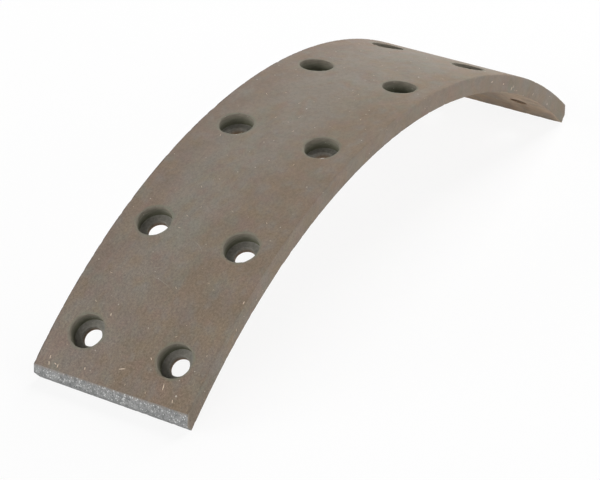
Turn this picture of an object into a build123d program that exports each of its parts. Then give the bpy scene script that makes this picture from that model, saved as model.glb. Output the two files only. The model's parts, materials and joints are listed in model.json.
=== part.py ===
from build123d import *
import os
from itertools import accumulate
from math import cos, radians, sin

# Friction lining of a drum brake shoe, moulded as one curved pad and drilled for rivets.
#
# The lining stands as an arch on the inner arrises of its two ends. X runs along the chord
# from the leading end to the trailing end, Y runs across the width, parallel to the drum's
# axis, and Z points up through the crown. The origin lies between the two ends, on the
# surface that they stand on. All sizes are in millimetres and degrees.

# Driving dimensions of the curved pad.
FACE_RADIUS = 177.8
LINING_WIDTH = 52.4
LINING_THICKNESS = 6.0

# Rivet rows, as angles along the arc from the leading end. The pitches differ from row to row.
LEADING_MARGIN_ANGLE = 5.2
ROW_PITCH_ANGLES = (12.75, 14.8, 15.0, 15.2, 16.0)
TRAILING_MARGIN_ANGLE = 5.45
COLUMN_SPACING = 30.0

# One stepped rivet hole: the head sinks into the counterbore and clamps the seat below it.
RIVET_HOLE_DIAMETER = 6.1
COUNTERBORE_DIAMETER = 10.6
SEAT_THICKNESS = 2.2
MOUTH_EDGE_BREAK = 0.2

# Lead-in bevels, ground across the outer edge of each end. A depth is measured down the end
# face. The leading one is ground slightly askew, so it is deeper at the front (-Y) side.
BEVEL_ANGLE = 45.0
LEADING_BEVEL_FRONT = 3.0
LEADING_BEVEL_BACK = 2.2
TRAILING_BEVEL = 2.8

# How far a cutting tool overshoots the surface that it starts or ends on.
TOOL_OVERSHOOT = 2.0

# Sizes that follow from the ones above.
SEAT_RADIUS = FACE_RADIUS - LINING_THICKNESS
ARC_ANGLE = LEADING_MARGIN_ANGLE + sum(ROW_PITCH_ANGLES) + TRAILING_MARGIN_ANGLE
HALF_ARC = ARC_ANGLE / 2
STEPS_ALONG_ARC = accumulate(ROW_PITCH_ANGLES, initial=LEADING_MARGIN_ANGLE)
ROW_ANGLES = [step - HALF_ARC for step in STEPS_ALONG_ARC]
CENTRE_HEIGHT = -SEAT_RADIUS * cos(radians(HALF_ARC))


def outward(angle):
    """Unit vector from the centre of curvature, angle degrees from the crown towards +X."""
    return Vector(sin(radians(angle)), 0, cos(radians(angle)))


def forward(angle):
    """Unit vector along the arc at that angle, towards the trailing end."""
    return Vector(cos(radians(angle)), 0, -sin(radians(angle)))


def on_arc(angle, radius, y=0.0):
    """Point at that angle and radius about the centre of curvature."""
    return Vector(0, y, CENTRE_HEIGHT) + outward(angle) * radius


def curved_pad():
    """The moulded pad: a ring segment drawn in the XZ plane and extruded across the width."""
    ends = -HALF_ARC, HALF_ARC
    face_start, face_end = [on_arc(angle, FACE_RADIUS) for angle in ends]
    seat_start, seat_end = [on_arc(angle, SEAT_RADIUS) for angle in ends]
    face = ThreePointArc(face_start, on_arc(0, FACE_RADIUS), face_end)
    trailing_edge = Line(face_end, seat_end)
    seat = ThreePointArc(seat_end, on_arc(0, SEAT_RADIUS), seat_start)
    leading_edge = Line(seat_start, face_start)
    section = make_face([face, trailing_edge, seat, leading_edge])
    return extrude(section, amount=LINING_WIDTH / 2, dir=(0, 1, 0), both=True)


def rivet_cutter():
    """The stepped drill for one rivet hole, with Z = 0 where its axis meets the outer face."""
    hole = RIVET_HOLE_DIAMETER / 2
    head = COUNTERBORE_DIAMETER / 2
    floor = SEAT_THICKNESS - LINING_THICKNESS
    tip = -LINING_THICKNESS - TOOL_OVERSHOOT
    flare = head + MOUTH_EDGE_BREAK + TOOL_OVERSHOOT
    profile = Polyline(
        (0, 0, tip),
        (hole, 0, tip),
        (hole, 0, floor),
        (head, 0, floor),
        (head, 0, -MOUTH_EDGE_BREAK),
        (flare, 0, TOOL_OVERSHOOT),
        (0, 0, TOOL_OVERSHOOT),
        close=True,
    )
    return revolve(make_face(profile), Axis.Z)


def rivet_places():
    """One radial plane for each rivet hole, on the outer face and facing out of it."""
    for angle in ROW_ANGLES:
        for y in (-COLUMN_SPACING / 2, COLUMN_SPACING / 2):
            yield Plane(on_arc(angle, FACE_RADIUS, y), x_dir=forward(angle), z_dir=outward(angle))


def bevel_plane(end, front_depth, back_depth):
    """The ground plane at one end (-1 leading, 1 trailing), facing away from the lining.

    It crosses the end face at front_depth below the outer face on the -Y side and at
    back_depth on the +Y side, and leans back from the end face by the bevel's angle.
    """
    angle = end * HALF_ARC
    front = on_arc(angle, FACE_RADIUS - front_depth, -LINING_WIDTH / 2)
    back = on_arc(angle, FACE_RADIUS - back_depth, LINING_WIDTH / 2)
    lean = radians(BEVEL_ANGLE)
    up_the_slope = outward(angle) * cos(lean) - forward(angle) * end * sin(lean)
    facing = (back - front).cross(up_the_slope) * end
    return Plane(front, x_dir=back - front, z_dir=facing)


def friction_lining():
    """The whole lining: the pad, its rivet holes and the bevels of its two ends."""
    pad = curved_pad()
    cutter = rivet_cutter()
    lining = pad - [place * cutter for place in rivet_places()]
    leading = bevel_plane(-1, LEADING_BEVEL_FRONT, LEADING_BEVEL_BACK)
    trailing = bevel_plane(1, TRAILING_BEVEL, TRAILING_BEVEL)
    for ground in (leading, trailing):
        lining = split(lining, bisect_by=ground, keep=Keep.BOTTOM)
    return lining


os.makedirs("parts", exist_ok=True)
lining = friction_lining()
lining.label = "friction_lining"
export_step(lining, "parts/friction_lining.step")
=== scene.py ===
import json
import random
from math import acos, asin, atan, atan2, cos, hypot, pi, radians, sin, sqrt

import bmesh
import bpy
from bpy.props import FloatProperty, FloatVectorProperty, IntProperty, PointerProperty
from mathutils import Matrix, Vector, noise


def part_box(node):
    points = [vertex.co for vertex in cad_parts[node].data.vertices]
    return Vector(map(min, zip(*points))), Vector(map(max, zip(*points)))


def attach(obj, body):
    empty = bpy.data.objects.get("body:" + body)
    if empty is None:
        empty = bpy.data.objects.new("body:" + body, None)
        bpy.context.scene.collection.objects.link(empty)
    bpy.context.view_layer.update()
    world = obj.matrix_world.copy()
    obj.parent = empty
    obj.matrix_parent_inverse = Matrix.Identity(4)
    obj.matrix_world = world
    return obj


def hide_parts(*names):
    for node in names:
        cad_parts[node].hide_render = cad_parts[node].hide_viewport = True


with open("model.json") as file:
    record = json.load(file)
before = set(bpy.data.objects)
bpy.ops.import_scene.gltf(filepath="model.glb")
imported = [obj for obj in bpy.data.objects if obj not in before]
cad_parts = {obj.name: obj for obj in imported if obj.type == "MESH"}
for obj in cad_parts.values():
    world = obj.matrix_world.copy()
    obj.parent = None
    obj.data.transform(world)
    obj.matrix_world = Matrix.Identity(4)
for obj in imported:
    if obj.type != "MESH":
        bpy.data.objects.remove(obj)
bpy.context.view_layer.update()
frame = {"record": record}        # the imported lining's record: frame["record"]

bl_info = {
    "name": "Riveted Brake Lining",
    "version": (1, 0, 0),
    "blender": (4, 5, 0),
    "location": "3D View > Sidebar > Brake Lining",
    "description": "Builds a drilled drum brake lining with its moulded, slit, ground and drilled surfaces",
    "category": "Object",
}

MM = 0.001
NODE = "friction_lining"
BODY = "root"

# Mesh attributes that the materials read.
UNROLLED = "unrolled"         # place with the arc laid flat: along the arc, across the width, up
ARRIS_DARK_LINE = "arris_grime"   # 1 on an arris with a dark line, fading to 0 on the open surface
MOUTH_SHADE = "mouth_dust"     # 1 at the rim of a counterbore, fading to 0 on the open face
END_BRUISE = "end_bruise"     # 1 on the arrises of both ends, fading to 0 on the surfaces beside

MOUNTS = {mount["name"]: mount for mount in frame["record"]["mounts"]}
LOWEST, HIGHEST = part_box(NODE)
WIDTH = HIGHEST.y - LOWEST.y
CROWN_HEIGHT = MOUNTS["drum_face"]["pos_m"][2]
THICKNESS = CROWN_HEIGHT - MOUNTS["shoe_seat"]["pos_m"][2]


def centre_height():
    """Height of the centre of curvature, where the axes of all the rivet holes meet."""
    hole = MOUNTS["rivet_hole_1_front"]
    x, _, z = hole["pos_m"]
    axis_x, _, axis_z = hole["axis"]
    return z - x / axis_x * axis_z


CENTRE_HEIGHT = centre_height()
FACE_RADIUS = CROWN_HEIGHT - CENTRE_HEIGHT
SEAT_RADIUS = FACE_RADIUS - THICKNESS
HALF_ARC = acos(-CENTRE_HEIGHT / SEAT_RADIUS)
LEADING_END = -HALF_ARC * FACE_RADIUS     # place of the leading end along the unrolled arc


class RivetHole:
    """One stepped rivet hole, read from its two mounts in the record."""

    def __init__(self, row, side):
        shank = MOUNTS[f"rivet_hole_{row}_{side}"]
        head = MOUNTS[f"head_recess_{row}_{side}"]
        self.angle = atan2(shank["axis"][0], shank["axis"][2])
        self.across = shank["pos_m"][1]
        self.shank_radius = shank["dims"]["r_mm"] * MM
        self.head_radius = head["dims"]["r_mm"] * MM
        self.floor_depth = THICKNESS - shank["dims"]["length_mm"] * MM
        self.mouth_break = self.floor_depth - head["dims"]["length_mm"] * MM

    def point(self, radius, turn, depth):
        """A point at that radius and turn about the hole's axis, depth below the face's level."""
        along = radius * cos(turn)
        x = (FACE_RADIUS - depth) * sin(self.angle) + along * cos(self.angle)
        z = (FACE_RADIUS - depth) * cos(self.angle) - along * sin(self.angle)
        return Vector((x, self.across + radius * sin(turn), CENTRE_HEIGHT + z))


ROWS = range(1, 1 + sum(name.startswith("rivet_hole") and name.endswith("front") for name in MOUNTS))
HOLES = [RivetHole(row, side) for row in ROWS for side in ("front", "back")]


def on_arc(angle, across, radius):
    """The point at that angle from the crown, place across the width and radius."""
    return Vector((radius * sin(angle), across, CENTRE_HEIGHT + radius * cos(angle)))


def arc_place(point):
    """The angle from the crown, place across the width and radius of a point."""
    rise = point.z - CENTRE_HEIGHT
    return atan2(point.x, rise), point.y, hypot(point.x, rise)


def blend(start, end, share):
    """The value that lies that share of the way from start to end."""
    return start + (end - start) * share


def linear(hex_code):
    """The linear red, green and blue of an sRGB colour such as #8a7f72."""
    channels = [int(hex_code[place:place + 2], 16) / 255 for place in (1, 3, 5)]
    return [c / 12.92 if c <= 0.04045 else ((c + 0.055) / 1.055) ** 2.4 for c in channels]


def length_property(name, description, millimetres):
    """A length that the user sets, with its default given in millimetres."""
    return FloatProperty(name=name, description=description, default=millimetres * MM, min=0,
                         precision=5, unit="LENGTH", subtype="DISTANCE")


def colour_property(name, description, hex_code):
    """A colour that the user sets, with its default given as sRGB."""
    return FloatVectorProperty(name=name, description=description, default=linear(hex_code),
                               min=0, max=1, size=3, subtype="COLOR")


def level_property(name, description, level):
    """A lamp's level: 1 lights a facing surface so that its colour renders as written."""
    return FloatProperty(name=name, description=description, default=level, min=0, subtype="FACTOR")


class LiningSizes(bpy.types.PropertyGroup):
    """Sizes of what the lining's making and handling left on its surface."""

    leading_bevel_front: length_property(
        "Leading bevel, front", "Depth of the leading end's bevel at the front side", 3.0)
    leading_bevel_back: length_property(
        "Leading bevel, back", "Depth of the leading end's bevel at the back side", 2.2)
    trailing_bevel: length_property(
        "Trailing bevel", "Depth of the trailing end's bevel", 2.8)
    arris_rounding: length_property(
        "Arris rounding", "Radius that handling has worn on every outer edge", 0.25)
    mesh_pitch: length_property(
        "Mesh pitch", "Distance between the vertices on the broad surfaces", 0.75)
    patch_half: length_property(
        "Patch half width", "Half the side of the square patch of mesh round each rivet hole", 7.5)
    wave_depth: length_property(
        "Wave depth", "How far the moulded surfaces sink between their high places", 0.05)
    grain_depth: length_property(
        "Grain depth", "Depth of the coarse grain of the moulded surfaces", 0.025)
    chip_depth: length_property(
        "Chip depth", "Depth of the deepest chip along an arris", 0.30)
    fibre_length: length_property(
        "Fibre length", "Usual length of a fibre that shows in the surface", 0.6)
    fibre_width: length_property(
        "Fibre width", "Usual width of a fibre bundle that shows in the surface", 0.11)
    scuff_width: length_property(
        "Scuff width", "Width of a thin scuff on the outer face", 0.22)
    grain_size: length_property(
        "Grain size", "Usual size of a mineral grain laid bare by grinding", 0.34)
    fibre_count: IntProperty(
        name="Fibre count", description="How many stray fibres show in the surface", default=160, min=0)
    grain_count: IntProperty(
        name="Grain count", description="How many bare grains show on each ground bevel",
        default=150, min=0)


class LiningColours(bpy.types.PropertyGroup):
    """Colours of the friction composite, by how each surface was made."""

    face_middle: colour_property(
        "Face middle", "Grey-brown of the outer face along its middle", "#8b8277")
    face_back: colour_property(
        "Face back", "Browner tone of the outer face along its back edge", "#86786c")
    face_lead: colour_property(
        "Face lead", "Dusty tone of the outer face at its leading end", "#8a7e73")
    face_front: colour_property(
        "Face front", "Brown of the outer face along its front side", "#877868")
    slit_brown: colour_property(
        "Slit brown", "Brown of the slit sides", "#897d70")
    slit_dull: colour_property(
        "Slit dull", "Duller brown of the slit sides near the leading end", "#7e7366")
    # Painted light: the seat's warm tan is made lighter to stand in for the floor's bounce light under the
    # arch.
    seat_tan_painted_light: colour_property(
        "Seat tan", "Warm tan of the concave seat, which no hand has rubbed", "#baa48f")
    filler_green: colour_property(
        "Filler green", "Grey-green patches where filler lies close under the skin", "#838376")
    filler_grey: colour_property(
        "Filler grey", "Grey patches where the filler is dusty", "#87827b")
    resin_brown: colour_property(
        "Resin brown", "Brown patches where the skin is rich in resin", "#8b7a65")
    resin_red: colour_property(
        "Resin red", "Reddish patches where the resin baked longest", "#8c756b")
    ground_pale: colour_property(
        "Ground pale", "Pale mineral in the ground bevels", "#a9a9a8")
    ground_dark: colour_property(
        "Ground dark", "Dark filler in the ground bevels", "#6e6f6f")
    drilled_mouth: colour_property(
        "Drilled mouth", "Counterbore wall just below the mouth", "#857e72")
    # Painted shade: the middle and foot colours darken the wall's grey-green to stand in for the shade down
    # the counterbore.
    drilled_middle_shade: colour_property(
        "Drilled middle", "Counterbore wall halfway down", "#787669")
    drilled_foot_shade: colour_property(
        "Drilled foot", "Counterbore wall in the corner at its floor", "#626252")
    floor_grey: colour_property(
        "Floor grey", "Flat floor of the counterbore", "#8b8880")
    # A darker brown for the rivet hole's lower lip, towards the seat.
    lip_brown: colour_property(
        "Lip brown", "Lower lip of the rivet hole, where dirt has crept in", "#836d58")
    # Painted shade: a darker grey-green ring round each counterbore's rim, standing in for the shade where
    # the face turns down into the hole.
    mouth_dust: colour_property(
        "Mouth dust", "Drilling dust packed round the mouths", "#7a8070")
    # A dark colour for a thin line along some long arrises.
    arris_dark: colour_property(
        "Grime", "Grime on the rubbed long arrises", "#47423c")
    pale_speck: colour_property(
        "Pale speck", "Mineral specks in every surface", "#c9c2b6")
    dark_speck: colour_property(
        "Dark speck", "Dark filler specks in every surface", "#645c52")
    fibre_cream: colour_property(
        "Fibre cream", "Cream reinforcing fibre", "#e0cdb8")
    scuff_pale: colour_property(
        "Scuff pale", "Skin bruised pale by a scuff", "#989084")
    mineral_white: colour_property(
        "Mineral white", "White grain laid bare on the ground bevels", "#cdcecd")


SENSOR_WIDTH = 36     # of the camera, in millimetres


class StudioSettings(bpy.types.PropertyGroup):
    """The camera, the lamps and the floor."""

    camera_place: FloatVectorProperty(
        name="Camera place", description="Where the camera stands", size=3, subtype="TRANSLATION",
        unit="LENGTH", default=(-571.01 * MM, -337.13 * MM, 362.91 * MM))
    camera_heading: FloatProperty(
        name="Camera heading", description="Turn of the camera about the vertical from looking along +Y",
        subtype="ANGLE", default=radians(-58.719))
    camera_tilt: FloatProperty(
        name="Camera tilt", description="Tilt of the camera up from looking straight down",
        subtype="ANGLE", default=radians(61.238))
    camera_roll: FloatProperty(
        name="Camera roll", description="Roll of the camera about its own axis",
        subtype="ANGLE", default=radians(0.712))
    lens: FloatProperty(
        name="Lens", description=f"Focal length on a {SENSOR_WIDTH} mm wide sensor", unit="CAMERA",
        default=143.09)
    high_back_level: level_property(
        "High back level", "Light of the soft box high behind the trailing end", 0.64)
    low_back_level: level_property(
        "Low back level", "Light of the soft box low behind the trailing end", 0.54)
    low_left_level: level_property(
        "Low left level", "Light of the soft box low at the back left", 0.50)
    low_right_level: level_property(
        "Low right level", "Light of the soft box low at the front side", 0.40)
    low_front_level: level_property(
        "Low front level", "Light of the soft box low before the leading end", 0.30)
    sky_level: level_property(
        "Sky level", "Light from all round", 0.02)
    floor_colour: colour_property(
        "Floor colour", "White paper of the floor", "#fafafa")
    floor_glow: FloatProperty(
        name="Floor glow", description="Share of the floor's look that stays white in a shadow",
        default=0.88, min=0, max=1)
    floor_reach: length_property(
        "Floor reach", "Half the side of the floor", 4000.0)


# ---------------------------------------------------------------------------------------------
# Shape of the pad


def divide(marks, pitch):
    """Places from the first mark to the last: every mark, and even steps of about pitch between."""
    places = [marks[0]]
    for start, end in zip(marks, marks[1:]):
        steps = max(1, round((end - start) / pitch))
        places += [blend(start, end, step / steps) for step in range(1, steps + 1)]
    return places


def nearest(places, value):
    """Index of the place that is nearest to the value."""
    return min(range(len(places)), key=lambda index: abs(places[index] - value))


def bevel_depth(sizes, end, across):
    """Depth of the bevel at that end (-1 leading, 1 trailing) and place across the width."""
    if end > 0:
        return sizes.trailing_bevel
    return blend(sizes.leading_bevel_front, sizes.leading_bevel_back, across / WIDTH + 0.5)


def bevel_reach(foot):
    """How far a bevel that starts at radius foot on the end face reaches up, and in along the arc."""
    return (sqrt(2 * FACE_RADIUS ** 2 - foot ** 2) - foot) / 2


def quads_between(ring, next_ring):
    """The corners of each face that joins two rings of vertices."""
    for index, corner in enumerate(ring):
        after = (index + 1) % len(ring)
        yield corner, ring[after], next_ring[after], next_ring[index]


class PadGrid:
    """Boundary grid of the curved pad: i runs along the arc, j across the width, k down its depth.

    Every outer edge has a row of vertices one rounding radius away on both sides, and the edge's
    own vertices are drawn in to the middle of the rounding. At the ends the layers above the
    bevel's lower edge lie on the ground plane.
    """

    CREASE_STEPS = 4

    def __init__(self, sizes):
        self.sizes = sizes
        self.rounding = sizes.arris_rounding
        self.patch_turn = asin(sizes.patch_half / FACE_RADIUS)
        angles = [hole.angle for hole in HOLES]
        # Angles of the first and the last patch's outer edges.
        self.patched = min(angles) - self.patch_turn, max(angles) + self.patch_turn
        self.columns = self.lay_columns()
        self.stations = self.lay_stations()
        self.last_i = len(self.stations) - 1
        self.last_j = len(self.columns) - 1
        above, below = self.layers(sizes.trailing_bevel)
        self.crease = len(above) - 1
        self.last_k = self.crease + len(below)

    def lay_columns(self):
        """Places across the width, with a mark at each patch's edge."""
        half = self.sizes.patch_half
        sides = sorted({hole.across for hole in HOLES})
        inner = [side + offset for side in sides for offset in (-half, half)]
        edge = WIDTH / 2
        marks = [-edge, self.rounding - edge, *inner, edge - self.rounding, edge]
        return divide(marks, self.sizes.mesh_pitch)

    def lay_stations(self):
        """Angles along the arc, with a mark at each patch's edge."""
        rows = sorted({hole.angle for hole in HOLES})
        inner = [row + offset for row in rows for offset in (-self.patch_turn, self.patch_turn)]
        near_end = HALF_ARC - self.rounding / FACE_RADIUS
        marks = [-HALF_ARC, -near_end, *inner, near_end, HALF_ARC]
        return divide(marks, self.sizes.mesh_pitch / FACE_RADIUS)

    def layers(self, crease_depth):
        """Depths above and below the bevel's lower edge, which lies at crease_depth."""
        edge = self.rounding
        above = [0, edge]
        above += [blend(edge, crease_depth - edge, step / self.CREASE_STEPS)
                  for step in range(1, self.CREASE_STEPS + 1)]
        above.append(crease_depth)
        below = [blend(crease_depth + edge, THICKNESS - edge, step / self.CREASE_STEPS)
                 for step in range(self.CREASE_STEPS + 1)]
        below.append(THICKNESS)
        return above, below

    def end_place(self, end, across, k):
        """Angle and radius of layer k on the end's bevel or on the end face below it."""
        crease = bevel_depth(self.sizes, end, across)
        above, below = self.layers(crease)
        if k > self.crease:
            return end * HALF_ARC, FACE_RADIUS - below[k - self.crease - 1]
        foot = FACE_RADIUS - crease
        up_slope = bevel_reach(foot) * (1 - above[k] / crease)
        rise = foot + up_slope
        return end * (HALF_ARC - atan(up_slope / rise)), hypot(up_slope, rise)

    def place(self, i, j, k):
        """Position of one vertex of the grid."""
        across = self.columns[j]
        angle = self.stations[i]
        end = -1 if angle < 0 else 1
        leading, trailing = [bevel_depth(self.sizes, side, across) for side in (-1, 1)]
        above, below = self.layers(blend(leading, trailing, i / self.last_i))
        radius = FACE_RADIUS - (above + below)[k]
        edge = self.patched[0 if end < 0 else 1]
        if abs(angle) > abs(edge):
            end_angle, end_radius = self.end_place(end, across, k)
            share = (abs(angle) - abs(edge)) / (HALF_ARC - abs(edge))
            angle = blend(edge, end_angle, share)
            radius = blend(radius, end_radius, share)
        return on_arc(*self.eased(i, j, k, angle, across, radius))

    def eased(self, i, j, k, angle, across, radius):
        """The same place, drawn in to the middle of the rounding where it lies on an arris."""
        ease = self.rounding * (1 - sqrt(0.5))
        at_end = i in (0, self.last_i)
        at_side = j in (0, self.last_j)
        at_skin = k in (0, self.last_k)
        if at_end + at_side + at_skin >= 2:
            on_bevel = at_end and k <= self.crease
            if at_side:
                across -= ease if across > 0 else -ease
            if at_end and not on_bevel:
                angle -= (ease if angle > 0 else -ease) / radius
            if k == self.last_k:
                radius += ease
            elif k == 0:
                radius -= ease / 2 if on_bevel and not at_side else ease
        return angle, across, radius

    def patch(self, hole):
        """First and last i and j of the square patch round a hole."""
        half, turn = self.sizes.patch_half, self.patch_turn
        return (nearest(self.stations, hole.angle - turn), nearest(self.stations, hole.angle + turn),
                nearest(self.columns, hole.across - half), nearest(self.columns, hole.across + half))


MOULDED, SLIT, GROUND, DRILLED, SCRAPED, SEAT = range(6)


class PadMesh:
    """Builds the pad's mesh from its grid and from rings of vertices in and round each hole."""

    FACE_RINGS = 4
    SEAT_RINGS = 6
    WALL_RINGS = 6
    FLOOR_RINGS = 4
    SHANK_RINGS = 4

    # Rings on the break at a mouth, in shares of its width out from the wall and of its depth.
    MOUTH_RINGS = ((0.35, 0.5), (0.06, 0.95))
    WALL_TOP = 1.4       # where the plain wall starts, in depths of the break
    CORNER_EASE = 0.3    # how far a rounded corner is drawn in, as a share of its rounding

    def __init__(self, sizes):
        self.sizes = sizes
        self.grid = PadGrid(sizes)
        self.mesh = bmesh.new()
        self.made = {}
        self.build()

    def vertex(self, i, j, k):
        """The grid's vertex, made when it is first asked for."""
        key = i, j, k
        if key not in self.made:
            self.made[key] = self.mesh.verts.new(self.grid.place(i, j, k))
        return self.made[key]

    def add_face(self, corners, finish):
        """One smooth face with that finish."""
        face = self.mesh.faces.new(corners)
        face.material_index = finish
        face.smooth = True

    def build(self):
        """All six sides of the pad and all its holes."""
        self.build_sides()
        for hole in HOLES:
            self.build_hole(hole)
        bmesh.ops.recalc_face_normals(self.mesh, faces=self.mesh.faces)

    def build_sides(self):
        """The outer face and the seat without the patches round the holes, the slit sides and ends."""
        grid = self.grid
        taken = set()
        for hole in HOLES:
            i_start, i_end, j_start, j_end = grid.patch(hole)
            taken |= {(i, j) for i in range(i_start, i_end) for j in range(j_start, j_end)}
        for k, finish in ((0, MOULDED), (grid.last_k, SEAT)):
            self.add_sheet(grid.last_i, grid.last_j, lambda i, j: (i, j, k), finish, taken)
        for j in (0, grid.last_j):
            self.add_sheet(grid.last_i, grid.last_k, lambda i, k: (i, j, k), SLIT)
        for i in (0, grid.last_i):
            self.add_sheet(grid.last_j, grid.last_k, lambda j, k: (i, j, k), GROUND)

    def add_sheet(self, rows, columns, place, finish, taken=()):
        """The faces of one side, where place gives the grid's i, j and k of a row and column."""
        for row in range(rows):
            for column in range(columns):
                if (row, column) not in taken:
                    corners = [place(row, column), place(row + 1, column),
                               place(row + 1, column + 1), place(row, column + 1)]
                    self.add_face([self.vertex(*corner) for corner in corners], finish)

    def build_hole(self, hole):
        """One hole: its square patch on each skin, and its stepped wall between them."""
        i_start, i_end, j_start, j_end = self.grid.patch(hole)
        border = [(i_start, j) for j in range(j_start, j_end)]
        border += [(i, j_end) for i in range(i_start, i_end)]
        border += [(i_end, j) for j in range(j_end, j_start, -1)]
        border += [(i, j_start) for i in range(i_end, i_start, -1)]
        outer = [self.vertex(*place, 0) for place in border]
        inner = [self.vertex(*place, self.grid.last_k) for place in border]
        offsets = [self.offset(hole, vertex.co) for vertex in outer]
        turns = [atan2(across, along) for along, across in offsets]
        rings = [(outer, MOULDED)]
        rings += self.skin_rings(hole, offsets, turns, FACE_RADIUS, self.FACE_RINGS, MOULDED)[::-1]
        rings += self.wall_rings(hole, turns)
        seat_offsets = [self.offset(hole, vertex.co) for vertex in inner]
        rings += self.skin_rings(hole, seat_offsets, turns, SEAT_RADIUS, self.SEAT_RINGS, SEAT)
        rings.append((inner, SEAT))
        for (ring, _), (next_ring, finish) in zip(rings, rings[1:]):
            for corners in quads_between(ring, next_ring):
                self.add_face(corners, finish)

    def offset(self, hole, point):
        """How far a point lies along the arc's tangent and across the width from the hole's axis."""
        angle, across, radius = arc_place(point)
        return radius * sin(angle - hole.angle), across - hole.across

    def skin_rings(self, hole, offsets, turns, skin_radius, count, finish):
        """Rings on a skin, from the edge of the hole there to just short of the patch's border."""
        rings = []
        for step in range(count):
            ring = []
            for (border_along, border_across), turn in zip(offsets, turns):
                edge = self.edge_radius(hole, turn, skin_radius)
                along = blend(edge * cos(turn), border_along, step / count)
                across = blend(edge * sin(turn), border_across, step / count)
                angle = hole.angle + asin(along / skin_radius)
                ring.append(self.mesh.verts.new(on_arc(angle, hole.across + across, skin_radius)))
            rings.append((ring, finish))
        return rings

    def edge_radius(self, hole, turn, skin_radius):
        """Radius of the hole's edge on a skin: flared on the face, eased on the seat."""
        if skin_radius < FACE_RADIUS:
            return hole.shank_radius + self.sizes.arris_rounding / 2
        flared = hole.head_radius + hole.mouth_break
        sag = FACE_RADIUS - sqrt(FACE_RADIUS ** 2 - (flared * cos(turn)) ** 2)
        return flared - sag

    def wall_profile(self, hole):
        """Radius, depth and finish of each ring of the stepped wall, from the mouth to the seat."""
        head, shank = hole.head_radius, hole.shank_radius
        floor, mouth = hole.floor_depth, hole.mouth_break
        ease = self.sizes.arris_rounding / 2
        corner = ease * self.CORNER_EASE
        profile = [(head + mouth * out, mouth * down, DRILLED) for out, down in self.MOUTH_RINGS]
        profile += [(head, blend(mouth * self.WALL_TOP, floor - ease, step / self.WALL_RINGS), DRILLED)
                    for step in range(self.WALL_RINGS + 1)]
        profile.append((head - corner, floor - corner, DRILLED))
        profile += [(blend(head - ease, shank + ease, step / self.FLOOR_RINGS), floor, SCRAPED)
                    for step in range(self.FLOOR_RINGS + 1)]
        profile.append((shank + corner, floor + corner, SCRAPED))
        profile += [(shank, blend(floor + ease, THICKNESS - ease, step / self.SHANK_RINGS), SCRAPED)
                    for step in range(self.SHANK_RINGS + 1)]
        return profile

    def wall_rings(self, hole, turns):
        """Rings of the stepped wall between the two skins."""
        rings = []
        for radius, depth, finish in self.wall_profile(hole):
            ring = [self.mesh.verts.new(hole.point(radius, turn, depth)) for turn in turns]
            rings.append((ring, finish))
        return rings


# ---------------------------------------------------------------------------------------------
# Wear of the pad's surfaces

WEAR_REACH = 0.9 * MM             # how far from an arris its chips reach
DARK_LINE_REACH = 0.9 * MM            # how far from a long arris its dark line reaches
BRUISE_REACH = 1.3 * MM           # how far from an end's arris its bruise reaches
MOUTH_SHADE_REACH = 1.5 * MM             # how far from a mouth its painted shade reaches
DARK_LINE_END_ANGLE = radians(12)     # where the dark line on the seat's arris stops, past the crown
DARK_LINE_FADE_ANGLE = radians(10)    # over how much of the arc it fades out there
WAVE_LENGTH = 26 * MM             # distance between the high places of a moulded surface
GRAIN_LENGTH = 1.7 * MM           # coarse grain of the moulded surface
CHIP_LENGTH = 2.6 * MM            # usual distance between chips along an arris
CHIP_NOISE = (0.6, 2.0, 3)        # roughness of the chips, step from size to size, number of sizes
CHIP_LEVEL = 0.18                 # noise level above which an arris is chipped


def fade(distance, reach):
    """1 at no distance, fading to 0 at the reach."""
    return max(0, 1 - distance / reach)


def swell(point, length):
    """Smooth noise from about 0 to 1, with its high places about that far apart."""
    return 0.5 + 0.5 * noise.noise(point / length)


def bevel_distance(sizes, angle, across, radius):
    """Distance of a point below the ground plane of the nearer end."""
    foot = FACE_RADIUS - bevel_depth(sizes, -1 if angle < 0 else 1, across)
    turn = HALF_ARC - abs(angle)
    inward = radius * sin(turn)
    rise = radius * cos(turn)
    return (inward - (rise - foot)) / sqrt(2)


def surface_distances(sizes, point):
    """Distances of a point from the face, the seat, the nearer side and end, and the bevel."""
    angle, across, radius = arc_place(point)
    return [abs(distance) for distance in (
        FACE_RADIUS - radius,
        radius - SEAT_RADIUS,
        WIDTH / 2 - abs(across),
        (HALF_ARC - abs(angle)) * radius,
        bevel_distance(sizes, angle, across, radius),
    )]


def arris_distance(distances):
    """Distance from the nearest arris, for a point that lies on one of the surfaces.

    The smallest of its distances is from that surface itself, so the next is from an arris.
    """
    return sorted(distances)[1]


def dark_line_on_arris(point):
    """How strongly the dark line marks a point: 1 on a marked long arris, 0 beyond its reach.

    It runs all along the outer face's back arris, and on the seat's front one from the
    leading end to past the crown.
    """
    angle, across, radius = arc_place(point)
    face_arris = hypot(FACE_RADIUS - radius, WIDTH / 2 - across)
    seat_arris = hypot(radius - SEAT_RADIUS, WIDTH / 2 + across)
    fading = min(1, max(0, (DARK_LINE_END_ANGLE - angle) / DARK_LINE_FADE_ANGLE))
    return max(fade(face_arris, DARK_LINE_REACH), fade(seat_arris, DARK_LINE_REACH) * fading)


def mouth_distance(point):
    """Distance of a point from the rim of the nearest counterbore, measured on the face."""
    angle, across, radius = arc_place(point)
    sink = FACE_RADIUS - radius
    distances = []
    for hole in HOLES:
        spread = hypot((angle - hole.angle) * radius, across - hole.across)
        distances.append(hypot(spread - hole.head_radius, sink))
    return min(distances)


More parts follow.
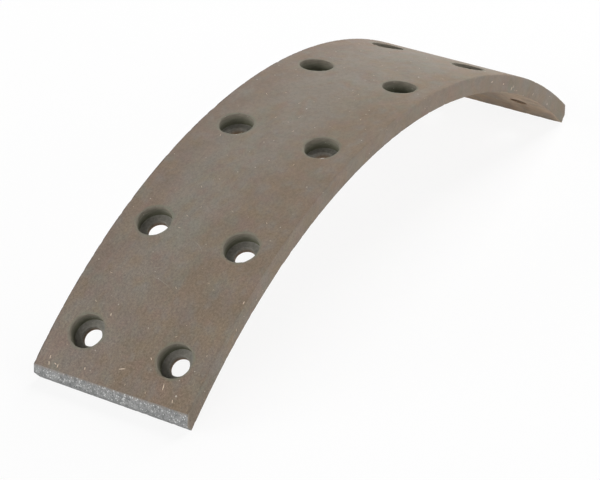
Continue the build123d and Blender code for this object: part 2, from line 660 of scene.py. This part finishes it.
def weather(mesh, sizes):
    """Sinks every vertex a little, for waviness, grain and chips, and keeps what the finish needs."""
    mesh.normal_update()
    unrolled = mesh.verts.layers.float_vector.new(UNROLLED)
    arris_dark = mesh.verts.layers.float.new(ARRIS_DARK_LINE)
    dust = mesh.verts.layers.float.new(MOUTH_SHADE)
    bruise = mesh.verts.layers.float.new(END_BRUISE)
    sunk = []
    for vertex in mesh.verts:
        point = vertex.co
        angle, across, radius = arc_place(point)
        vertex[unrolled] = angle * FACE_RADIUS, across, radius - FACE_RADIUS
        distances = surface_distances(sizes, point)
        mouth = mouth_distance(point)
        end_face, bevel = distances[-2:]
        vertex[arris_dark] = dark_line_on_arris(point)
        vertex[bruise] = fade(min(end_face, bevel), BRUISE_REACH)
        # Painted shade round each counterbore's mouth, strongest at the rim.
        vertex[dust] = fade(mouth, MOUTH_SHADE_REACH)
        wear = fade(min(arris_distance(distances), mouth), WEAR_REACH)
        wave = sizes.wave_depth * swell(point, WAVE_LENGTH)
        grain = sizes.grain_depth * swell(point, GRAIN_LENGTH)
        chip = max(0, noise.fractal(point / CHIP_LENGTH, *CHIP_NOISE) - CHIP_LEVEL)
        sunk.append(wave + grain + sizes.chip_depth * chip * wear * wear)
    for vertex, depth in zip(mesh.verts, sunk):
        vertex.co -= vertex.normal * max(0, depth)


# ---------------------------------------------------------------------------------------------
# Fibres, scuffs and grains, whose tops lie flush with the pad's true size

# Cross-sections of a sliver, in shares of its length from its middle and of its width.
SLIVER_RINGS = ((-0.5, 0.3), (-0.25, 0.85), (0.1, 1.0), (0.35, 0.8), (0.5, 0.25))
SLIVER_TOP = 0.85     # width of its flat top, as a share of its width at the bottom

# Cross-sections of a grain, in shares of its size above the surface and of its girth.
GRAIN_RINGS = ((-0.35, 0.8), (-0.04, 1.0), (0, 0.85))


def surface_frame(surface, along, across):
    """Origin, tangent, cross direction and outward normal at a place on one of the surfaces.

    along is measured on the arc of the outer face from the leading end. across is the place
    across the width, or on a slit side the depth below the outer face.
    """
    angle = along / FACE_RADIUS - HALF_ARC
    tangent = Vector((cos(angle), 0, -sin(angle)))
    outward = Vector((sin(angle), 0, cos(angle)))
    if surface == "face":
        return on_arc(angle, across, FACE_RADIUS), tangent, Vector((0, 1, 0)), outward
    if surface == "seat":
        return on_arc(angle, across, SEAT_RADIUS), tangent, Vector((0, 1, 0)), -outward
    side = -1 if surface == "front" else 1
    return (on_arc(angle, side * WIDTH / 2, FACE_RADIUS - across), tangent, outward,
            Vector((0, side, 0)))


def close_rings(mesh, rings):
    """Joins each ring of vertices to the next and puts a lid on the first and the last."""
    for ring, next_ring in zip(rings, rings[1:]):
        for corners in quads_between(ring, next_ring):
            mesh.faces.new(corners)
    mesh.faces.new(rings[0][::-1])
    mesh.faces.new(rings[-1])


def add_sliver(mesh, frame_here, heading, length, width, bend):
    """One flat tapered fibre, bedded in the surface with its top flush with the true size."""
    origin, tangent, cross, normal = frame_here
    direction = tangent * cos(heading) + cross * sin(heading)
    beside = normal.cross(direction)
    rings = []
    for share, girth in SLIVER_RINGS:
        centre = origin + direction * length * share + beside * bend * length * share * share
        half = width / 2 * girth
        ring = [centre + beside * half - normal * width, centre + beside * half * SLIVER_TOP,
                centre - beside * half * SLIVER_TOP, centre - beside * half - normal * width]
        rings.append([mesh.verts.new(corner) for corner in ring])
    close_rings(mesh, rings)


def add_placed_slivers(mesh, surface, places, width, bend):
    """A sliver at each place: along the arc, across, length (all in millimetres) and heading."""
    for along, across, length, heading in places:
        frame_here = surface_frame(surface, along * MM, across * MM)
        add_sliver(mesh, frame_here, heading, length * MM, width, bend)


def clear_of_holes(along, across, margin):
    """Whether a place on the face or seat lies clear of every rivet hole."""
    angle = along / FACE_RADIUS - HALF_ARC
    return all(hypot((angle - hole.angle) * FACE_RADIUS, across - hole.across)
               > hole.head_radius + margin for hole in HOLES)


def bevel_frame(sizes, end, share_up, across):
    """Origin, slope direction, cross direction and outward normal at a place on a ground bevel.

    share_up runs from 0 at the bevel's lower edge to 1 at its upper one.
    """
    foot = FACE_RADIUS - bevel_depth(sizes, end, across)
    outward = Vector((end * sin(HALF_ARC), 0, cos(HALF_ARC)))
    forward = Vector((end * cos(HALF_ARC), 0, -sin(HALF_ARC)))
    slope = (outward - forward).normalized()
    rise = slope * sqrt(2) * bevel_reach(foot) * share_up
    origin = Vector((0, across, CENTRE_HEIGHT)) + outward * foot + rise
    return origin, slope, Vector((0, 1, 0)), (outward + forward).normalized()


def add_grain(mesh, frame_here, size, draw):
    """One crushed mineral grain, bedded in the bevel and ground off flush with its true plane."""
    origin, slope, cross, normal = frame_here
    corners = draw.choice((5, 6, 7))
    start = draw.uniform(0, 2 * pi)
    spokes = []
    for corner in range(corners):
        turn = start + 2 * pi * corner / corners
        reach = size / 2 * draw.uniform(0.7, 1.2)
        spokes.append((slope * cos(turn) + cross * sin(turn)) * reach)
    rings = []
    for level, girth in GRAIN_RINGS:
        centre = origin + normal * size * level
        rings.append([mesh.verts.new(centre + spoke * girth) for spoke in spokes])
    close_rings(mesh, rings)


def finish_piece(name, mesh, materials):
    """Turns a bmesh into a piece of the lining that rides on its body."""
    bmesh.ops.recalc_face_normals(mesh, faces=mesh.faces)
    data = bpy.data.meshes.new(name)
    mesh.to_mesh(data)
    mesh.free()
    for material in materials:
        data.materials.append(material)
    piece = bpy.data.objects.new(name, data)
    bpy.context.scene.collection.objects.link(piece)
    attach(piece, BODY)
    return piece


# ---------------------------------------------------------------------------------------------
# Finishes


def add_node(tree, kind, settings=None, **inputs):
    """Adds a node with its settings, and fills or links its inputs.

    An input is named by its socket, with _ for a space, or by in_ and its number. A node given
    for an input is linked from its first working output.
    """
    node = tree.nodes.new(kind)
    for name, value in (settings or {}).items():
        setattr(node, name, value)
    for name, value in inputs.items():
        key = int(name[3:]) if name.startswith("in_") else name.replace("_", " ")
        socket = node.inputs[key]
        if isinstance(value, bpy.types.Node):
            value = next(output for output in value.outputs if output.enabled)
        if isinstance(value, bpy.types.NodeSocket):
            tree.links.new(value, socket)
        else:
            socket.default_value = value
    return node


# Node settings that come back often. A mix takes its share, first and second as in_0, in_6, in_7.
MIXED = {"data_type": "RGBA"}
TONED = {"data_type": "RGBA", "blend_type": "MULTIPLY"}
ADDED = {"operation": "ADD"}
TIMES = {"operation": "MULTIPLY"}


def opaque(colour):
    """A colour with its alpha, as a socket takes it."""
    return (*colour, 1)


def per_metre(millimetres):
    """Texture scale of a pattern whose features lie that far apart."""
    return 1 / (millimetres * MM)


def toned(tree, colour, pattern, depth):
    """A colour made lighter and darker by a noise pattern, by up to that depth each way."""
    tone = add_node(tree, "ShaderNodeMapRange", Value=pattern, From_Min=0.3, From_Max=0.7,
                    To_Min=1 - depth, To_Max=1 + depth)
    return add_node(tree, "ShaderNodeMix", TONED, in_0=1.0, in_6=colour, in_7=tone)


def over(tree, colour, top, mask, strength):
    """A colour with another one laid over it where the mask is 1, as strongly as given."""
    share = add_node(tree, "ShaderNodeMath", TIMES, in_0=mask, in_1=strength)
    return add_node(tree, "ShaderNodeMix", MIXED, in_0=share, in_6=colour, in_7=opaque(top))


def turned_to(tree, colour, top, value, start, end, strength=1.0):
    """A colour that gives way to another one as a value goes from start to end."""
    mask = add_node(tree, "ShaderNodeMapRange", Value=value, From_Min=start, From_Max=end)
    return over(tree, colour, top, mask, strength)


def specked(tree, where, colour, top, spacing, radius, share, strength):
    """A colour with specks of another: one cell each spacing, of which that share holds a speck.

    The spacing and the radius of a speck are in millimetres.
    """
    cells = add_node(tree, "ShaderNodeTexVoronoi", Vector=where, Scale=per_metre(spacing))
    reach = radius / spacing
    near = add_node(tree, "ShaderNodeMapRange", Value=cells.outputs["Distance"], From_Min=reach,
                    From_Max=reach * 0.55)
    lot = add_node(tree, "ShaderNodeSeparateColor", Color=cells.outputs["Color"])
    chosen = add_node(tree, "ShaderNodeMath", {"operation": "LESS_THAN"}, in_0=lot, in_1=share)
    mask = add_node(tree, "ShaderNodeMath", TIMES, in_0=near, in_1=chosen)
    return over(tree, colour, top, mask, strength)


def new_material(name):
    """An empty node material: its node tree and its shader, already linked to the output."""
    material = bpy.data.materials.new(name)
    material.use_nodes = True
    tree = material.node_tree
    shader = tree.nodes["Principled BSDF"]
    return material, tree, shader


def finish_stone(tree, shader, colour, roughness, relief=None, strength=0, depth=0):
    """Links a finish's colour and relief, and sets how the resin and its filler reflect.

    The relief is a pattern that stands depth millimetres high, shown as strongly as given.
    Their refraction is 1.5, but a dusty porous surface shows only half of that gloss.
    """
    tree.links.new(colour.outputs[2], shader.inputs["Base Color"])
    if relief:
        bump = add_node(tree, "ShaderNodeBump", Strength=strength, Distance=depth * MM, Height=relief)
        tree.links.new(bump.outputs["Normal"], shader.inputs["Normal"])
    shader.inputs["Roughness"].default_value = roughness
    shader.inputs["IOR"].default_value = 1.5
    shader.inputs["Specular IOR Level"].default_value = 0.25


def unrolled_place(tree):
    """The place on the pad with its arc laid flat, and that place's three parts."""
    where = add_node(tree, "ShaderNodeAttribute", {"attribute_name": UNROLLED}).outputs["Vector"]
    parts = add_node(tree, "ShaderNodeSeparateXYZ", Vector=where)
    return where, parts.outputs["X"], parts.outputs["Y"], parts.outputs["Z"]


def clouded(tree, where, colour, colours):
    """The composite's slow drifts of hue: green and grey fillers, brown resin and baked red.

    The drifts lie from 24 mm down to 3.5 mm apart, as the mixture spread in the mould.
    """
    along_grain = add_node(tree, "ShaderNodeMapping", Vector=where, Scale=(0.77, 1, 1))
    drifts = ((colours.filler_green, 24, 0.38), (colours.resin_brown, 17, 0.45),
              (colours.resin_red, 11, 0.30), (colours.filler_grey, 9, 0.45),
              (colours.filler_green, 6, 0.38), (colours.resin_brown, 5, 0.42),
              (colours.resin_red, 4.5, 0.34), (colours.filler_grey, 3.5, 0.42))
    for hue, size, strength in drifts:
        drift = add_node(tree, "ShaderNodeTexNoise", Vector=along_grain, Scale=per_metre(size),
                         Detail=1.0, Roughness=0.55)
        colour = turned_to(tree, colour, hue, drift, 0.52, 0.72, strength)
    return colour


def grained(tree, where, along, colour, colours, depth):
    """The composite's irregular grain: a tone in every size from 9 mm to 0.2 mm, and specks.

    The finest real grain is near 0.05 mm. It is drawn at 0.2 mm, as fine as can show. The
    mixture is coarser towards the leading end, where the mould was filled last.
    """
    broad = add_node(tree, "ShaderNodeTexNoise", Vector=where, Scale=per_metre(9), Roughness=0.55)
    fine = add_node(tree, "ShaderNodeTexNoise", Vector=where, Scale=per_metre(1.5), Detail=3.0,
                    Roughness=0.95)
    coarse = add_node(tree, "ShaderNodeTexNoise", Vector=where, Scale=per_metre(0.75), Roughness=1.0)
    colour = toned(tree, toned(tree, colour, broad, 0.5 * depth), fine, depth)
    coarse_end = add_node(tree, "ShaderNodeMapRange", Value=along, From_Min=0.2 * LEADING_END,
                          From_Max=LEADING_END)
    colour = add_node(tree, "ShaderNodeMix", MIXED, in_0=coarse_end, in_6=colour,
                      in_7=toned(tree, colour, coarse, 1.5 * depth))
    colour = specked(tree, where, colour, colours.dark_speck, 1.1, 0.21, 0.30, 0.35)
    colour = specked(tree, where, colour, colours.pale_speck, 1.9, 0.24, 0.13, 0.70)
    return specked(tree, where, colour, colours.pale_speck, 7.0, 0.36, 0.35, 0.90)


def patchy(tree, where, attribute, spacing, detail, depth):
    """How strongly a mesh attribute marks a place, made uneven by noise of up to that depth."""
    marked = add_node(tree, "ShaderNodeAttribute", {"attribute_name": attribute}).outputs["Fac"]
    patches = add_node(tree, "ShaderNodeTexNoise", Vector=where, Scale=per_metre(spacing),
                       Detail=detail, Roughness=0.55)
    uneven = add_node(tree, "ShaderNodeMapRange", Value=patches, From_Min=0.3, From_Max=0.7,
                      To_Min=-depth, To_Max=depth)
    return add_node(tree, "ShaderNodeMath", ADDED, in_0=marked, in_1=uneven)


def lined(tree, where, colour, colours):
    """A broken dark line along some long arrises, less than half a millimetre wide."""
    caught = patchy(tree, where, ARRIS_DARK_LINE, 4, 3.0, 0.18)
    return turned_to(tree, colour, colours.arris_dark, caught, 0.48, 0.90, 0.80)


def shaded_round_mouths(tree, where, colour, colours):
    """Painted shade laid unevenly round the mouths of the counterbores, darker and grey-green."""
    packed = patchy(tree, where, MOUTH_SHADE, 3, 2.0, 0.25)
    return turned_to(tree, colour, colours.mouth_dust, packed, 0.30, 1.0, 0.60)


def moulded_composite(colours):
    """Friction composite as hot moulding and a light skim leave it: resin, filler, short fibres.

    The eye sees a dead matt skin, grey where the skim bit and browner where it only grazed. It
    clouds to grey-green and red-brown, with fine irregular grain, painted shade round the mouths
    and no gloss.
    """
    material, tree, shader = new_material("moulded_friction_composite")
    where, along, across, _ = unrolled_place(tree)
    # The skim only grazed the back edge and the leading end.
    colour = turned_to(tree, opaque(colours.face_middle), colours.face_back, across, 11 * MM, 20 * MM)
    colour = turned_to(tree, colour, colours.face_lead, along, -85 * MM, -118 * MM)
    # It ran slightly askew, so along the front side it missed a strip that widens to the lead.
    askew = add_node(tree, "ShaderNodeMath", {"operation": "MULTIPLY_ADD"}, in_0=along, in_1=0.12,
                     in_2=across)
    colour = turned_to(tree, colour, colours.face_front, askew, -7 * MM, -17 * MM)
    colour = clouded(tree, where, colour, colours)
    colour = grained(tree, where, along, colour, colours, 0.12)
    # Painted shade: a darker grey-green ring round each counterbore's mouth.
    colour = shaded_round_mouths(tree, where, colour, colours)
    colour = lined(tree, where, colour, colours)
    grit = add_node(tree, "ShaderNodeTexNoise", Vector=where, Scale=per_metre(0.45), Detail=3.0)
    finish_stone(tree, shader, colour, 0.9, grit, 0.35, 0.05)
    return material


def slit_composite(colours):
    """Friction composite slit to width by a diamond wheel: the mixture seen in section.

    The eye sees an even matt brown with a fine sawn grain, duller near the leading end.
    """
    material, tree, shader = new_material("slit_friction_composite")
    where, along, _, _ = unrolled_place(tree)
    colour = turned_to(tree, opaque(colours.slit_brown), colours.slit_dull, along,
                       0.74 * LEADING_END, 0.96 * LEADING_END)
    colour = clouded(tree, where, colour, colours)
    colour = grained(tree, where, along, colour, colours, 0.11)
    bruise = add_node(tree, "ShaderNodeAttribute", {"attribute_name": END_BRUISE}).outputs["Fac"]
    colour = turned_to(tree, colour, colours.scuff_pale, bruise, 0.25, 0.75, 0.75)
    colour = lined(tree, where, colour, colours)
    sawn = add_node(tree, "ShaderNodeMapping", Vector=where, Scale=(0.25, 1, 1))
    grit = add_node(tree, "ShaderNodeTexNoise", Vector=sawn, Scale=per_metre(0.5), Detail=3.0)
    finish_stone(tree, shader, colour, 0.9, grit, 0.4, 0.05)
    return material


def seat_composite(colours):
    """Friction composite as the lower half of the mould leaves it, made lighter by painted light.

    The eye sees a warm matt tan, clouded like the face but with less grain. Its lightness is
    painted bounce light from the floor.
    """
    material, tree, shader = new_material("seat_friction_composite")
    where, along, _, _ = unrolled_place(tree)
    # Painted light: the lighter tan stands in for the floor's bounce light on the seat.
    colour = clouded(tree, where, opaque(colours.seat_tan_painted_light), colours)
    colour = grained(tree, where, along, colour, colours, 0.09)
    colour = lined(tree, where, colour, colours)
    grit = add_node(tree, "ShaderNodeTexNoise", Vector=where, Scale=per_metre(0.45), Detail=3.0)
    finish_stone(tree, shader, colour, 0.9, grit, 0.35, 0.05)
    return material


def ground_composite(colours):
    """Friction composite cut by a coarse belt: bare filler, glassy grains and dark carbon.

    The eye sees a light speckled grey, cooler than the moulded skin, with faint scratches
    running up the slope. The belt's marks lie 0.25 mm apart and are drawn at 0.5 mm, to show.
    """
    material, tree, shader = new_material("ground_friction_composite")
    where, _, _, level = unrolled_place(tree)
    grit = add_node(tree, "ShaderNodeTexNoise", Vector=where, Scale=per_metre(0.45), Roughness=0.8)
    clumps = add_node(tree, "ShaderNodeTexNoise", Vector=where, Scale=per_metre(1.6), Roughness=0.7)
    both = add_node(tree, "ShaderNodeMath", ADDED, in_0=grit, in_1=clumps)
    colour = turned_to(tree, opaque(colours.ground_dark), colours.ground_pale, both, 0.72, 1.28)
    up_the_slope = add_node(tree, "ShaderNodeMapping", Vector=where, Scale=(0.125, 1, 0.125))
    scratches = add_node(tree, "ShaderNodeTexNoise", Vector=up_the_slope, Scale=per_metre(0.5))
    colour = toned(tree, colour, scratches, 0.12)
    colour = specked(tree, where, colour, colours.ground_dark, 0.85, 0.24, 0.34, 0.55)
    colour = specked(tree, where, colour, colours.mineral_white, 1.0, 0.25, 0.30, 0.75)
    # The skin breaks away unevenly at the upper edge, so the face's tone runs a little way over.
    ragged = add_node(tree, "ShaderNodeMath", {"operation": "MULTIPLY_ADD"}, in_0=clumps,
                      in_1=1.6 * MM, in_2=level)
    colour = turned_to(tree, colour, colours.face_lead, ragged, 0.1 * MM, 0.9 * MM, 0.75)
    finish_stone(tree, shader, colour, 0.8, grit, 0.6, 0.10)
    return material


def drilled_composite(colours):
    """Friction composite cut by a counterbore: torn grey-green filler, darkened down the wall by painted
    shade.

    The eye sees a dull wall that starts nearly like the face and turns dark grey-green towards
    the corner at its foot, with faint rings left by the cutter. The darkening towards the foot is
    painted shade of the recess.
    """
    material, tree, shader = new_material("drilled_friction_composite")
    where, _, _, level = unrolled_place(tree)
    # Painted shade: the wall darkens with depth to the middle and foot colours, standing in for the shade
    # inside the counterbore.
    colour = turned_to(tree, opaque(colours.drilled_mouth), colours.drilled_middle_shade, level,
                       -0.3 * MM, -1.8 * MM)
    colour = turned_to(tree, colour, colours.drilled_foot_shade, level, -1.6 * MM, -3.2 * MM)
    round_the_wall = add_node(tree, "ShaderNodeMapping", Vector=where, Scale=(0.4, 0.4, 1.6))
    rings = add_node(tree, "ShaderNodeTexNoise", Vector=round_the_wall, Scale=per_metre(0.9),
                     Detail=3.0)
    colour = toned(tree, colour, rings, 0.16)
    colour = specked(tree, where, colour, colours.pale_speck, 1.1, 0.22, 0.12, 0.35)
    finish_stone(tree, shader, colour, 0.9, rings, 0.6, 0.08)
    return material


def scraped_composite(colours):
    """Friction composite scraped by the drill: under its flat tip, and round the rivet hole.

    The eye sees a flat grey floor speckled with pale filler, and a rivet hole that starts as
    grey and ends in a darker brown lip towards the seat.
    """
    material, tree, shader = new_material("scraped_friction_composite")
    where, _, _, level = unrolled_place(tree)
    colour = turned_to(tree, opaque(colours.floor_grey), colours.lip_brown, level,
                       -4.4 * MM, -5.6 * MM)
    torn = add_node(tree, "ShaderNodeTexNoise", Vector=where, Scale=per_metre(0.8), Detail=3.0)
    colour = toned(tree, colour, torn, 0.16)
    colour = specked(tree, where, colour, colours.pale_speck, 1.1, 0.20, 0.18, 0.40)
    finish_stone(tree, shader, colour, 0.85, torn, 0.5, 0.08)
    return material


def bare_grain(name, colour, roughness, detail_size):
    """A bare fibre, mineral grain or bruise: one colour, faintly clouded.

    The eye sees a light fleck that stands out from the darker mixture by its colour alone.
    """
    material, tree, shader = new_material(name)
    place = add_node(tree, "ShaderNodeTexCoord").outputs["Object"]
    cloud = add_node(tree, "ShaderNodeTexNoise", Vector=place, Scale=per_metre(detail_size))
    finish_stone(tree, shader, toned(tree, opaque(colour), cloud, 0.10), roughness)
    return material


# ---------------------------------------------------------------------------------------------
# Operators


class BRAKE_LINING_OT_pad(bpy.types.Operator):
    """Build the lining's pad, with its worn arrises, ground bevels and drilled holes"""

    bl_idname = "brake_lining.build_pad"
    bl_label = "Build Pad"

    def execute(self, context):
        sizes = context.scene.lining_sizes
        colours = context.scene.lining_colours
        mesh = PadMesh(sizes).mesh
        weather(mesh, sizes)
        finishes = [
            moulded_composite(colours),
            slit_composite(colours),
            ground_composite(colours),
            drilled_composite(colours),
            scraped_composite(colours),
            seat_composite(colours),
        ]
        pad = finish_piece("lining_pad", mesh, finishes)
        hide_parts(NODE)
        return {"FINISHED"}


# Fibre bundles that stand out by themselves on the face, most of them where the leading bevel
# tore them loose: millimetres along the arc from the leading end, millimetres across, length
# in millimetres and heading from along the arc.
BOLD_FIBRES = (
    (5.5, 22.0, 1.1, 0.2), (3.7, 21.5, 1.2, 0.5), (4.1, 19.5, 0.9, 1.2), (3.7, 18.5, 1.1, 0.1),
    (5.6, 10.0, 0.8, 0.3), (9.0, -1.0, 2.0, 1.95), (8.0, -15.5, 2.0, 0.2), (5.0, -20.0, 1.0, 0.4),
    (14.5, -8.0, 0.8, 0.8), (23.0, 10.5, 0.9, 0.3), (39.0, -25.5, 1.0, 0.1),
)

# The same on the front side, with the depth below the outer face in place of the place across.
SIDE_FIBRES = ((209.0, 4.4, 1.3, 1.2), (192.0, 2.5, 1.0, 0.2), (201.5, 3.2, 0.7, 0.8))

# Widths of both, in usual fibre widths, and how far they bow, as a share of their length.
BOLD_GIRTH, SIDE_GIRTH, BOLD_BEND = 2.6, 3.2, 0.1

# How often a stray fibre shows in each surface, about in proportion to its width.
FIBRE_ODDS = {"face": 52, "seat": 52, "front": 8, "back": 8}
END_MARGIN = 4 * MM       # kept free of stray fibres beside each end
MOUTH_MARGIN = 1 * MM     # and round each counterbore

# Thin scuffs on the face, laid out like its fibres.
SCUFFS = ((38.0, 8.0, 6.0, 0.9), (37.5, 1.0, 7.0, 1.3), (41.0, 5.5, 4.5, 2.1), (52.0, -3.0, 5.0, 1.0))
SCUFF_BEND = 0.25

FIBRE_SEED, GRAIN_SEED = 7, 11


class BRAKE_LINING_OT_fibres(bpy.types.Operator):
    """Scatter the short reinforcing fibres that show in the moulded and slit surfaces"""

    bl_idname = "brake_lining.scatter_fibres"
    bl_label = "Scatter Fibres"

    def execute(self, context):
        sizes = context.scene.lining_sizes
        colours = context.scene.lining_colours
        draw = random.Random(FIBRE_SEED)
        mesh = bmesh.new()
        add_placed_slivers(mesh, "face", BOLD_FIBRES, sizes.fibre_width * BOLD_GIRTH, BOLD_BEND)
        add_placed_slivers(mesh, "front", SIDE_FIBRES, sizes.fibre_width * SIDE_GIRTH, BOLD_BEND)
        for _ in range(sizes.fibre_count):
            surface = draw.choices(list(FIBRE_ODDS), list(FIBRE_ODDS.values()))[0]
            along = draw.uniform(END_MARGIN, -2 * LEADING_END - END_MARGIN)
            if surface in ("face", "seat"):
                across = draw.uniform(-0.48, 0.48) * WIDTH
                if not clear_of_holes(along, across, MOUTH_MARGIN):
                    continue
            else:
                across = draw.uniform(0.08, 0.92) * THICKNESS
            length = sizes.fibre_length * draw.uniform(0.4, 1.5)
            width = sizes.fibre_width * draw.uniform(0.6, 1.3)
            add_sliver(mesh, surface_frame(surface, along, across), draw.uniform(0, pi),
                       length, width, draw.uniform(-0.3, 0.3))
        cream = bare_grain("aramid_fibre", colours.fibre_cream, 0.8, 0.4)
        finish_piece("reinforcing_fibres", mesh, [cream])
        return {"FINISHED"}


class BRAKE_LINING_OT_scuffs(bpy.types.Operator):
    """Draw the few thin scuffs that handling left on the outer face"""

    bl_idname = "brake_lining.draw_scuffs"
    bl_label = "Draw Scuffs"

    def execute(self, context):
        sizes = context.scene.lining_sizes
        colours = context.scene.lining_colours
        mesh = bmesh.new()
        add_placed_slivers(mesh, "face", SCUFFS, sizes.scuff_width, SCUFF_BEND)
        bruised = bare_grain("bruised_friction_composite", colours.scuff_pale, 0.9, 0.8)
        finish_piece("face_scuffs", mesh, [bruised])
        return {"FINISHED"}


class BRAKE_LINING_OT_grains(bpy.types.Operator):
    """Bed the crushed mineral grains that grinding laid bare on both bevels"""

    bl_idname = "brake_lining.bed_grains"
    bl_label = "Bed Grains"

    def execute(self, context):
        sizes = context.scene.lining_sizes
        colours = context.scene.lining_colours
        draw = random.Random(GRAIN_SEED)
        mesh = bmesh.new()
        for end in (-1, 1):
            for _ in range(sizes.grain_count):
                across = draw.uniform(-0.485, 0.485) * WIDTH
                frame_here = bevel_frame(sizes, end, draw.uniform(0.06, 0.94), across)
                add_grain(mesh, frame_here, sizes.grain_size * draw.uniform(0.5, 1.5), draw)
        quartz = bare_grain("crushed_quartz", colours.mineral_white, 0.6, 0.5)
        finish_piece("bevel_grains", mesh, [quartz])
        return {"FINISHED"}


# Each soft box: its name, its turn from +X towards +Y and its height above the floor, in degrees.
SOFT_BOXES = (
    ("high_back", 0, 50),
    ("low_back", 0, 18),
    ("low_left", 135, 18),
    ("low_right", 270, 18),
    ("low_front", 180, 18),
)
SOFT_BOX_SIDE = 1.4
SOFT_BOX_DISTANCE = 2.2


class BRAKE_LINING_OT_stage(bpy.types.Operator):
    """Set up the white floor, the soft lamps and the camera"""

    bl_idname = "brake_lining.set_stage"
    bl_label = "Set Stage"

    def execute(self, context):
        studio = context.scene.studio_settings
        self.lay_floor(studio)
        self.light_world(studio)
        for name, turn, height in SOFT_BOXES:
            self.hang_lamp(name, radians(turn), radians(height), getattr(studio, name + "_level"))
        self.place_camera(studio)
        context.scene.view_settings.view_transform = "Standard"
        return {"FINISHED"}

    def lay_floor(self, studio):
        """A sheet of white paper under the lining's standing edges."""
        reach = studio.floor_reach
        data = bpy.data.meshes.new("floor")
        corners = [(-reach, -reach, 0), (reach, -reach, 0), (reach, reach, 0), (-reach, reach, 0)]
        data.from_pydata(corners, [], [range(4)])
        data.materials.append(self.white_paper(studio))
        floor = bpy.data.objects.new("floor", data)
        bpy.context.scene.collection.objects.link(floor)

    def white_paper(self, studio):
        """Matt white paper that keeps the lining's shadow and is plain white elsewhere."""
        material, tree, shader = new_material("white_paper")
        tree.nodes.remove(shader)
        paper = add_node(tree, "ShaderNodeBsdfDiffuse", Color=opaque(studio.floor_colour))
        bright = add_node(tree, "ShaderNodeBsdfDiffuse", Color=(1, 1, 1, 1))
        glow = add_node(tree, "ShaderNodeEmission", Color=(1, 1, 1, 1), Strength=1.0)
        seen_mix = add_node(tree, "ShaderNodeMixShader", in_0=studio.floor_glow, in_1=bright, in_2=glow)
        mixed = add_node(tree, "ShaderNodeMixShader", in_0=self.seen(tree), in_1=paper, in_2=seen_mix)
        output = tree.nodes["Material Output"]
        tree.links.new(mixed.outputs[0], output.inputs["Surface"])
        return material

    def seen(self, tree):
        """1 where the camera sees a surface, straight or by reflection or through glass."""
        path = add_node(tree, "ShaderNodeLightPath")
        bounced = add_node(tree, "ShaderNodeMath", ADDED, in_0=path.outputs["Is Glossy Ray"],
                           in_1=path.outputs["Is Transmission Ray"])
        either = add_node(tree, "ShaderNodeMath", ADDED, in_0=path.outputs["Is Camera Ray"], in_1=bounced)
        return add_node(tree, "ShaderNodeMath", {"operation": "MINIMUM"}, in_0=either, in_1=1.0)

    def light_world(self, studio):
        """Even light from all round, with a white backdrop where it is seen."""
        world = bpy.data.worlds.new("white_tent")
        world.use_nodes = True
        tree = world.node_tree
        tree.nodes.clear()
        light = add_node(tree, "ShaderNodeBackground", Color=(1, 1, 1, 1), Strength=studio.sky_level)
        backdrop = add_node(tree, "ShaderNodeBackground", Color=(1, 1, 1, 1), Strength=1.0)
        mixed = add_node(tree, "ShaderNodeMixShader", in_0=self.seen(tree), in_1=light, in_2=backdrop)
        output = add_node(tree, "ShaderNodeOutputWorld")
        tree.links.new(mixed.outputs[0], output.inputs["Surface"])
        bpy.context.scene.world = world

    def hang_lamp(self, name, turn, height, level):
        """A square soft box, level times as bright on the lining as full light."""
        data = bpy.data.lights.new(name, "AREA")
        data.shape = "SQUARE"
        data.size = SOFT_BOX_SIDE
        data.energy = level * (pi * SOFT_BOX_DISTANCE) ** 2
        lamp = bpy.data.objects.new(name, data)
        back = Vector((cos(turn) * cos(height), sin(turn) * cos(height), sin(height)))
        lamp.location = back * SOFT_BOX_DISTANCE
        lamp.rotation_euler = back.to_track_quat("Z", "Y").to_euler()
        bpy.context.scene.collection.objects.link(lamp)

    def place_camera(self, studio):
        """A long lens that looks down over the lining from its leading end."""
        data = bpy.data.cameras.new("camera")
        data.sensor_width = SENSOR_WIDTH
        data.lens = studio.lens
        camera = bpy.data.objects.new("camera", data)
        turn = Matrix.Rotation(studio.camera_heading, 4, "Z")
        turn @= Matrix.Rotation(studio.camera_tilt, 4, "X")
        turn @= Matrix.Rotation(studio.camera_roll, 4, "Z")
        camera.matrix_world = Matrix.Translation(studio.camera_place) @ turn
        bpy.context.scene.collection.objects.link(camera)
        bpy.context.scene.camera = camera


class BRAKE_LINING_PT_parts(bpy.types.Panel):
    """Lists the steps that build the lining, and its settings"""

    bl_idname = "BRAKE_LINING_PT_parts"
    bl_label = "Brake Lining"
    bl_space_type = "VIEW_3D"
    bl_region_type = "UI"
    bl_category = "Brake Lining"

    def draw(self, context):
        layout = self.layout
        for operator in OPERATORS:
            layout.operator(operator.bl_idname)
        for group in ("lining_sizes", "lining_colours", "studio_settings"):
            settings = getattr(context.scene, group)
            column = layout.column(align=True)
            for name in settings.__annotations__:
                column.prop(settings, name)


GROUPS = {
    "lining_sizes": LiningSizes,
    "lining_colours": LiningColours,
    "studio_settings": StudioSettings,
}
OPERATORS = (BRAKE_LINING_OT_pad, BRAKE_LINING_OT_fibres, BRAKE_LINING_OT_scuffs,
             BRAKE_LINING_OT_grains, BRAKE_LINING_OT_stage)
CLASSES = (*GROUPS.values(), *OPERATORS, BRAKE_LINING_PT_parts)


def register():
    """Registers the classes and hangs the settings on the scene."""
    for cls in CLASSES:
        bpy.utils.register_class(cls)
    for name, group in GROUPS.items():
        setattr(bpy.types.Scene, name, PointerProperty(type=group))


def unregister():
    """Takes the settings and the classes away again."""
    for name in GROUPS:
        delattr(bpy.types.Scene, name)
    for cls in reversed(CLASSES):
        bpy.utils.unregister_class(cls)


def main():
    """Builds the lining and its stage."""
    register()
    bpy.ops.brake_lining.build_pad()
    bpy.ops.brake_lining.scatter_fibres()
    bpy.ops.brake_lining.draw_scuffs()
    bpy.ops.brake_lining.bed_grains()
    bpy.ops.brake_lining.set_stage()


if __name__ == "__main__":
    main()
